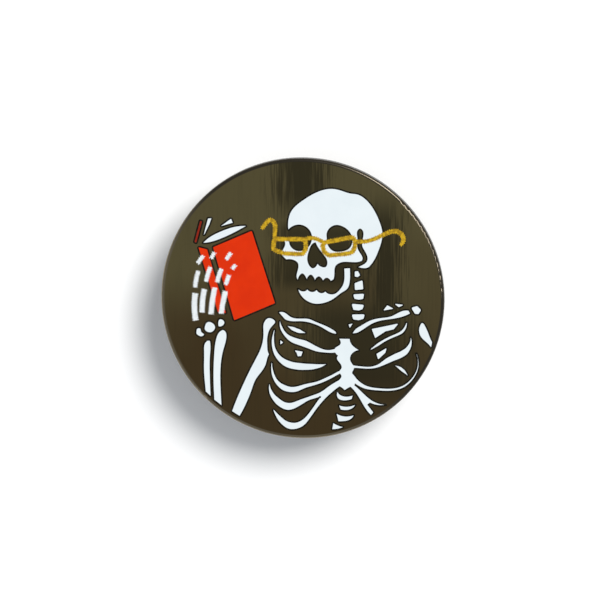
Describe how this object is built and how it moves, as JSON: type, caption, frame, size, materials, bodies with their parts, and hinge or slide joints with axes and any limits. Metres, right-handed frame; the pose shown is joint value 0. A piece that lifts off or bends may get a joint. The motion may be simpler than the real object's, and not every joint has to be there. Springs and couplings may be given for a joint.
{
  "type": "enamel pin",
  "caption": "Round lapel pin in black nickel with flush enamel showing a skeleton in yellow glasses reading a red book, held by sprung butterfly clutches on pointed posts.",
  "frame": {"origin": "centre of the flat back face of the metal disc", "axes": "+Z out of the enamelled face, +Y up the picture, +X to the picture's right"},
  "size_m": [0.038, 0.038, 0.0096],
  "materials": {
    "black_nickel": "black nickel plating, fine brushed face",
    "white_enamel": "polished hard enamel",
    "red_enamel": "polished hard enamel",
    "dark_red_enamel": "polished hard enamel",
    "white_print": "screen-printed ink",
    "yellow_print": "screen-printed ink",
    "nickel": "bright nickel plating",
    "solder": "dull solder under thin plating"
  },
  "bodies": {
    "pin": {"pin_base": "black_nickel", "enamel_skull": "white_enamel", "enamel_jaw": "white_enamel", "enamel_neck": "white_enamel", "enamel_left_collarbone": "white_enamel", "enamel_right_collarbone": "white_enamel", "enamel_shoulder_blade": "white_enamel", "enamel_right_upper_arm": "white_enamel", "enamel_ribcage": "white_enamel", "enamel_left_free_ribs": "white_enamel", "enamel_right_free_ribs": "white_enamel", "enamel_back_ribs": "white_enamel", "enamel_lumbar": "white_enamel", "enamel_radius": "white_enamel", "enamel_ulna": "white_enamel", "enamel_left_upper_arm": "white_enamel", "enamel_wrist": "white_enamel", "enamel_book_pages": "white_enamel", "enamel_book_cover": "red_enamel", "enamel_book_spine": "red_enamel", "enamel_book_back": "dark_red_enamel", "print_finger_bones": "white_print", "print_glasses": "yellow_print", "post_left": "nickel", "solder_left": "solder", "post_right": "nickel", "solder_right": "solder"},
    "clutch_left": {"clutch_left_cap": "nickel", "clutch_left_spring": "nickel"},
    "wing_upper_left": {"clutch_left_wing_upper": "nickel"},
    "wing_lower_left": {"clutch_left_wing_lower": "nickel"},
    "clutch_right": {"clutch_right_cap": "nickel", "clutch_right_spring": "nickel"},
    "wing_upper_right": {"clutch_right_wing_upper": "nickel"},
    "wing_lower_right": {"clutch_right_wing_lower": "nickel"}
  },
  "joints": [
    {"name": "clutch_left_slide", "type": "slide", "parent": "pin", "child": "clutch_left", "axis": [0, 0, -1], "range_m": [-0.002, 0.012]},
    {"name": "clutch_left_squeeze_upper", "type": "hinge", "parent": "clutch_left", "child": "wing_upper_left", "pos_m": [-0.0095, 0.0014, -0.0045], "axis": [-1, 0, 0], "range_deg": [0, 12], "stiffness_Nm_per_rad": 0.05},
    {"name": "clutch_left_squeeze_lower", "type": "hinge", "parent": "clutch_left", "child": "wing_lower_left", "pos_m": [-0.0095, -0.0014, -0.0045], "axis": [1, 0, 0], "range_deg": [0, 12], "stiffness_Nm_per_rad": 0.05},
    {"name": "clutch_right_slide", "type": "slide", "parent": "pin", "child": "clutch_right", "axis": [0, 0, -1], "range_m": [-0.002, 0.012]},
    {"name": "clutch_right_squeeze_upper", "type": "hinge", "parent": "clutch_right", "child": "wing_upper_right", "pos_m": [0.0095, 0.0014, -0.0045], "axis": [-1, 0, 0], "range_deg": [0, 12], "stiffness_Nm_per_rad": 0.05},
    {"name": "clutch_right_squeeze_lower", "type": "hinge", "parent": "clutch_right", "child": "wing_lower_right", "pos_m": [0.0095, -0.0014, -0.0045], "axis": [1, 0, 0], "range_deg": [0, 12], "stiffness_Nm_per_rad": 0.05}
  ]
}
